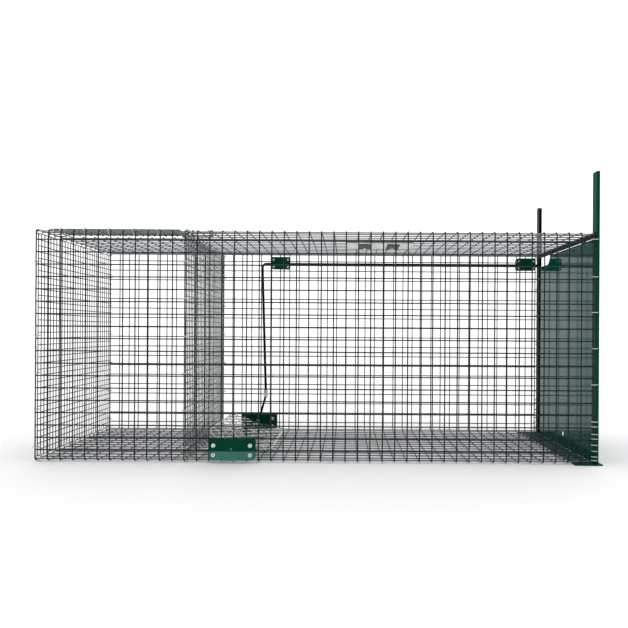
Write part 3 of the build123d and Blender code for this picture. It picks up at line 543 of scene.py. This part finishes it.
def rivet_profile(head, rise, shank):
    """Pop rivet from its seat up: flange, dome and the pit left by the mandrel."""
    radius = head / 2
    pit = shank * 0.24
    return [
        (shank / 2, -0.6 * MM), (shank / 2, -0.05 * MM), (radius * 0.97, -0.03 * MM),
        (radius, rise * 0.12), (radius * 0.95, rise * 0.38), (radius * 0.8, rise * 0.68),
        (radius * 0.58, rise * 0.9), (pit * 1.5, rise), (pit * 1.1, rise * 0.97),
        (pit, rise * 0.8), (pit * 0.9, rise * 0.35), (pit * 0.3, rise * 0.3),
    ]


def rivets(name, piece_name):
    """Pop rivets with a head on both sides; heights and shanks are parts of the head."""
    rise_part = 0.22
    shank_part = 0.54
    mesh = MeshBuilder()
    for centre, low, high in solids_of(name):
        head = high.z - low.z
        rise = head * rise_part
        shank = head * shank_part
        for side, end in ((-1, low), (1, high)):
            axis = Vector((0, 0, 0))
            axis[RIVET_AXIS] = side
            base = Vector(centre)
            base[RIVET_AXIS] = end[RIVET_AXIS] - side * rise
            mesh.turned(base, axis, rivet_profile(head, rise, shank))
        start = Vector(centre)
        end = Vector(centre)
        start[RIVET_AXIS] = low[RIVET_AXIS] + rise
        end[RIVET_AXIS] = high[RIVET_AXIS] - rise
        mesh.tube([start, end], shank / 2, sides=16)
    mesh.make(piece_name, ALUMINIUM, "cage", [name])


# ---- treadle ----
TREADLE_TILT = math.radians(15.8)
TREADLE_LEFT = 70 * MM        # the sheet's edges, measured along it from the pivot
TREADLE_RIGHT = 74 * MM
TREADLE_LIFT = 3.2 * MM       # the sheet's underside over the pivot
TREADLE_THICKNESS = 1.5 * MM
DIAMONDS_LONG = 7             # openings along the shaft
DIAMONDS_WIDE = 6             # openings across it
STRAND_WIDTH = 3.4 * MM
STRAND_SHARE = 0.8            # part of its half width by which a strand keeps off its bounds
STRAND_LEAN = math.radians(18)
STRAND_BOND = 0.13            # part of a half pitch that runs straight where strands meet
STRAND_THINNING = 0.9         # thickness of strands and rim as a part of the sheet's
RIM_WIDTH = 2.2 * MM
RIM_BEND = 6 * MM


def joint_named(name):
    """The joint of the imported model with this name."""
    return next(j for j in frame["joints"] if j["name"] == name)


def treadle_plate():
    """Expanded sheet: leaning strands that meet in bonds, inside a folded rim."""
    low, high = [Vector(c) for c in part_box("treadle_plate")]
    pivot = Vector(joint_named("treadle_tilt")["pos_m"])
    turn = Matrix.Rotation(TREADLE_TILT, 4, "Y")
    middle = TREADLE_LIFT + TREADLE_THICKNESS / 2

    def place(u, v, w=0.0):
        return pivot + turn @ Vector((u, v - pivot.y, middle + w))

    mesh = MeshBuilder()
    length = TREADLE_LEFT + TREADLE_RIGHT - 2 * RIM_WIDTH
    width = high.y - low.y - 2 * RIM_WIDTH
    half_pitch = length / DIAMONDS_WIDE / 2
    pitch_v = width / DIAMONDS_LONG
    half_w = STRAND_WIDTH / 2
    half_t = TREADLE_THICKNESS / 2 * STRAND_THINNING
    section = [(-half_w, -half_t), (half_w, -half_t), (half_w, half_t), (-half_w, half_t)]
    cos_lean = math.cos(STRAND_LEAN)
    sin_lean = math.sin(STRAND_LEAN)
    section = [(a * cos_lean - b * sin_lean, a * sin_lean + b * cos_lean) for a, b in section]
    up = turn @ Vector((0, 0, 1))
    reach = STRAND_BOND * pitch_v / 2
    for s in range(2 * DIAMONDS_WIDE):
        near = RIM_WIDTH - TREADLE_LEFT + s * half_pitch + half_w * STRAND_SHARE
        far = near + half_pitch - 2 * half_w * STRAND_SHARE
        points = []
        for j in range(2 * DIAMONDS_LONG + 1):
            u = near if (j + s) % 2 == 0 else far
            v = low.y + RIM_WIDTH + j * pitch_v / 2
            if j > 0:
                points.append(place(u, v - reach))
            if j < 2 * DIAMONDS_LONG:
                points.append(place(u, v + reach))
        mesh.strip(points, section, up=up)
    corners = [(-TREADLE_LEFT, low.y), (TREADLE_RIGHT, low.y), (TREADLE_RIGHT, high.y),
               (-TREADLE_LEFT, high.y)]
    outline = []
    half_rim = RIM_WIDTH / 2
    corner_steps = 5
    for index, (u, v) in enumerate(corners):
        su = 1 if u < 0 else -1
        sv = 1 if v == low.y else -1
        start = math.pi + index * math.pi / 2
        for k in range(corner_steps + 1):
            angle = start + math.pi / 2 * k / corner_steps
            outline.append(place(u + su * (RIM_BEND + half_rim) + RIM_BEND * math.cos(angle),
                                 v + sv * (RIM_BEND + half_rim) + RIM_BEND * math.sin(angle)))
    edge = [(-half_rim, -half_t), (half_rim, -half_t), (half_rim, half_t), (-half_rim, half_t)]
    mesh.strip(outline, edge, up=up, closed=True)
    mesh.make("treadle_expanded_sheet", TREADLE_GREEN, "treadle",
              ["treadle_plate"], smooth_angle=30)


def front_bracket():
    """Outer plate with its foot bent outwards."""
    low, high = [Vector(c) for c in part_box("front_treadle_bracket")]
    mesh = MeshBuilder()
    foot = 17.5 * MM              # height of the bent stretch
    flare = math.radians(7)
    corner = 5 * MM
    soft = 0.35 * MM              # bevel round both faces
    corner_steps = 5
    middle_x = (low.x + high.x) / 2

    def outline(inset):
        points = []
        for quarter, (x, z) in enumerate([(high.x, high.z), (low.x, high.z), (low.x, low.z),
                                          (high.x, low.z)]):
            sx = -1 if x > middle_x else 1
            sz = -1 if z == high.z else 1
            for k in range(corner_steps + 1):
                angle = math.pi / 2 * (quarter + k / corner_steps)
                points.append((x + sx * corner + (corner - inset) * math.cos(angle),
                               z + sz * corner + (corner - inset) * math.sin(angle)))
            if quarter == 1:
                points.append((low.x + inset, low.z + foot))
        points.append((high.x - inset, low.z + foot))
        return points

    def layer(inset, y):
        verts = []
        for x, z in outline(inset):
            drop = max(0.0, low.z + foot - z)
            verts.append(Vector((x, y - drop * math.sin(flare), z)))
        return verts

    layers = [layer(soft, high.y), layer(0, high.y - soft),
              layer(0, low.y + soft), layer(soft, low.y)]
    count = len(layers[0])
    verts = [v for one in layers for v in one]
    faces = []
    last_layer = (len(layers) - 1) * count
    for i in range(len(layers) - 1):
        for k in range(count):
            here = i * count
            faces.append([here + k, here + (k + 1) % count, here + count + (k + 1) % count,
                          here + count + k])
    left_bend = 2 * (corner_steps + 1)    # the outline's points where the foot begins
    right_bend = count - 1
    for base, flip in ((0, False), (last_layer, True)):
        upper = [base + k for k in range(0, left_bend + 1)] + [base + right_bend]
        lower = [base + k for k in range(left_bend, right_bend + 1)]
        faces.append(upper if not flip else upper[::-1])
        faces.append(lower if not flip else lower[::-1])
    mesh.add(verts, faces)
    plate = mesh.make("front_treadle_bracket_plate", GREEN, "cage",
                      ["front_treadle_bracket"], smooth_angle=20)
    # The foot's faces get lit_green_paint: painted light, a lighter green standing in for the
    # white floor's reflection on the bent foot.
    plate.data.materials.append(LIT_FOOT_GREEN)
    for polygon in plate.data.polygons:
        if abs(polygon.normal.y) > 0.5 and polygon.center.z < low.z + foot:
            polygon.material_index = 1


def shaft():
    """Shaft with turned-down, dimpled ends."""
    chamfer = 0.55 * MM
    dimple = 0.5 * MM
    dimple_floor = 0.7 * MM
    pin = 0.2 * MM            # radius at which the profile stops short of its axis
    low, high = [Vector(c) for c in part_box("treadle_shaft")]
    mesh = MeshBuilder()
    radius = (high.x - low.x) / 2
    centre = (low + high) / 2
    span = high.y - low.y
    profile = [
        (pin, dimple_floor), (radius * 0.35, dimple), (radius * 0.5, 0.0), (radius * 0.78, 0.0),
        (radius, chamfer), (radius, span - chamfer), (radius * 0.78, span),
        (radius * 0.5, span), (radius * 0.35, span - dimple), (pin, span - dimple_floor),
    ]
    mesh.turned((centre.x, low.y, centre.z), (0, 1, 0), profile)
    # The bar gets lit_green_paint: painted light, a painted glint on the shaft's green.
    mesh.make("treadle_shaft_bar", LIT_FOOT_GREEN, "treadle", ["treadle_shaft"])


# ---- trigger rod and link ----
def trigger_rod():
    """Round bar with one generous bend; the arm leans by the same slope as in the model."""
    low, high = [Vector(c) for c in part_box("trigger_rod")]
    radius = (high.y - low.y) / 2
    y = (low.y + high.y) / 2
    top = high.z - radius
    sleeve_low, sleeve_high = [Vector(c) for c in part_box("link_sleeve")]
    arm_end = Vector(((sleeve_low.x + sleeve_high.x) / 2, y, low.z))
    bend = 12 * MM
    lean_room = 0.4 * MM      # from the node's left side to the bar at the bend's corner
    corner = Vector((low.x + radius + lean_room, y, top))
    down = (arm_end - corner).normalized()
    start = corner + down * bend
    finish = corner + Vector((bend, 0, 0))
    points = [arm_end.lerp(start, k / 6) for k in range(6)]
    for k in range(9):
        t = k / 8
        points.append(start * (1 - t) ** 2 + corner * 2 * t * (1 - t) + finish * t**2)
    tip = Vector((high.x, y, top))
    points.extend([finish.lerp(tip, k / 8) for k in range(1, 8)])
    points.extend([tip - Vector((0.8 * MM, 0, 0)), tip])
    mesh = MeshBuilder()
    mesh.tube(points, radius, sides=20)
    mesh.make("trigger_rod_bar", DARK_PAINT_AND_SHADE, "trigger", ["trigger_rod"])


def handle_grip():
    """Moulded grip with shallow finger rings."""
    waists = 4
    waist_depth = 0.09        # part of the radius
    end_round = 1.2 * MM
    steps = 64
    low, high = [Vector(c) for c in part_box("handle_grip")]
    mesh = MeshBuilder()
    radius = (high.z - low.z) / 2
    span = high.x - low.x
    centre = (low + high) / 2
    profile = [(radius * 0.45, 0.0), (radius * 0.8, 0.0), (radius * 0.96, end_round)]
    for k in range(steps + 1):
        t = k / steps
        dip = waist_depth * (0.5 - 0.5 * math.cos(2 * math.pi * waists * t))
        profile.append((radius * (1 - dip), 2 * end_round + t * (span - 4 * end_round)))
    profile.extend([(radius * 0.96, span - end_round), (radius * 0.8, span),
                    (radius * 0.45, span)])
    mesh.turned((low.x, centre.y, centre.z), (1, 0, 0), profile)
    mesh.make("handle_grip_moulding", GRIP_BLACK, "handle", ["handle_grip"])


def soften_edges(*nodes):
    """A narrow bevel on sheet pieces, so that their edges catch the light."""
    for name in nodes:
        bevel = frame["nodes"][name].modifiers.new("edge", "BEVEL")
        bevel.width = SHEET_BEVEL
        bevel.segments = 2
        bevel.limit_method = "ANGLE"
        bevel.angle_limit = math.radians(50)


# ---- the scene round the object ----
EYE_ALONG = 637.6 * MM        # camera from the first girth wire
EYE_BEFORE = 1199 * MM        # from the front mesh
EYE_OVER = 272 * MM           # over the floor mesh
EYE_ROLL = math.radians(0.34)


def camera():
    """Level camera in front of the long side; the shift frames the object."""
    data = bpy.data.cameras.new("camera")
    data.sensor_width = 36
    data.lens = 33.6
    data.shift_x = -0.0527
    data.shift_y = 0.0249
    data.clip_start = 0.05
    data.clip_end = 30
    eye = bpy.data.objects.new("camera", data)
    eye.location = (END_X + EYE_ALONG, FRONT_Y - EYE_BEFORE, FLOOR_Z + EYE_OVER)
    level = Matrix.Rotation(math.pi / 2, 3, "X")
    eye.rotation_euler = (level @ Matrix.Rotation(EYE_ROLL, 3, "Z")).to_euler()
    bpy.context.scene.collection.objects.link(eye)
    bpy.context.scene.camera = eye


def floor():
    """Plain pale studio floor."""
    mesh = bpy.data.meshes.new("studio_floor")
    reach = 8.0
    corners = [(-reach, -reach, 0), (reach, -reach, 0), (reach, reach, 0), (-reach, reach, 0)]
    mesh.from_pydata(corners, [], [(0, 1, 2, 3)])
    ground = bpy.data.objects.new("studio_floor", mesh)
    pale = bpy.data.materials.new("pale_floor")
    pale.use_nodes = True
    shader = pale.node_tree.nodes["Principled BSDF"]
    shader.inputs["Base Color"].default_value = (1.0, 1.0, 1.0, 1)
    shader.inputs["Roughness"].default_value = 0.9
    mesh.materials.append(pale)
    bpy.context.scene.collection.objects.link(ground)


def world():
    """White surroundings. Only the camera sees them even: they light the object less from
    the front, so that the faces turned that way stay dark."""
    surroundings = bpy.data.worlds.new("studio")
    bpy.context.scene.world = surroundings
    surroundings.use_nodes = True
    tree = surroundings.node_tree
    link = tree.links.new
    white = tree.nodes["Background"]
    white.inputs["Color"].default_value = (1, 1, 1, 1)
    white.inputs["Strength"].default_value = WORLD_STRENGTH
    place = tree.nodes.new("ShaderNodeTexCoord")
    axes = tree.nodes.new("ShaderNodeSeparateXYZ")
    link(place.outputs["Generated"], axes.inputs["Vector"])
    fade = tree.nodes.new("ShaderNodeMapRange")
    fade.inputs["From Min"].default_value = -0.9
    fade.inputs["From Max"].default_value = -0.45
    fade.inputs["To Min"].default_value = 0.06
    fade.inputs["To Max"].default_value = 1.0
    link(axes.outputs["Y"], fade.inputs["Value"])
    dim = tree.nodes.new("ShaderNodeBackground")
    link(fade.outputs["Result"], dim.inputs["Color"])
    dim.inputs["Strength"].default_value = WORLD_STRENGTH
    rays = tree.nodes.new("ShaderNodeLightPath")
    choose = tree.nodes.new("ShaderNodeMixShader")
    link(rays.outputs["Is Camera Ray"], choose.inputs["Fac"])
    link(dim.outputs["Background"], choose.inputs[1])
    link(white.outputs["Background"], choose.inputs[2])
    link(choose.outputs["Shader"], tree.nodes["World Output"].inputs["Surface"])
    bpy.context.scene.view_settings.view_transform = "Standard"


side_panel("front_mesh_panel", FRONT_Y, 1)
side_panel("back_mesh_panel", BACK_Y, -1)
flat_panel("floor_mesh_panel", FLOOR_Z, 1)
flat_panel("top_mesh_panel", TOP_Z, -1, hatch=(1, 11, 1, 4))
fine_panel("end_mesh_panel", WIRE_COAT)
fine_panel("divider_mesh_panel", DIVIDER_COAT)
hatch_lid()

lacing_rings("end_panel_rings", "end_lacing_rings")
lacing_rings("divider_rings", "divider_lacing_rings")
lacing_rings("hatch_hinge_rings", "hatch_ring_hinges")
rail_clips("front_rail_clips", "front_wire_clips")
rail_clips("rear_rail_clips", "rear_wire_clips")
rivets("front_bracket_rivets", "front_pop_rivets")
rivets("rear_bracket_rivets", "rear_pop_rivets")
rivets("rod_guide_rivets", "guide_pop_rivets")

treadle_plate()
front_bracket()
shaft()
trigger_rod()
handle_grip()

repaint(GREEN, "front_bracket_backing", "rear_treadle_bracket", "rear_bracket_backing",
        "left_rod_guide", "right_rod_guide", "rod_guide_backings", "front_door_rail",
        "door_sill", "plate_saddles", "hatch_bolt_bracket")
repaint(DOOR_GREEN, "drop_door")
# On rear_door_rail and door_lintel this dark is painted shade: they look dark because they stand
# in shadow.
repaint(DARK_PAINT_AND_SHADE, "rear_door_rail", "door_lintel", "treadle_lever", "handle_bail",
        "handle_brackets", "handle_backing_plates", "hatch_edge_bar")
# handle_guard gets the bright zinc as a painted reflection: the green-painted guard looks white
# from below because it mirrors the white floor.
repaint(ZINC_AND_FLOOR_REFLECTION, "shaft_collars", "handle_rivets", "handle_guard")
repaint(ALUMINIUM, "hatch_bolt")
repaint(LINK_WHITE, "link_sleeve")
soften_edges("front_door_rail", "rear_door_rail", "door_sill", "rear_treadle_bracket",
             "rear_bracket_backing", "front_bracket_backing", "handle_brackets", "drop_door",
             "rod_guide_backings", "handle_guard", "door_lintel")

camera()
floor()
world()
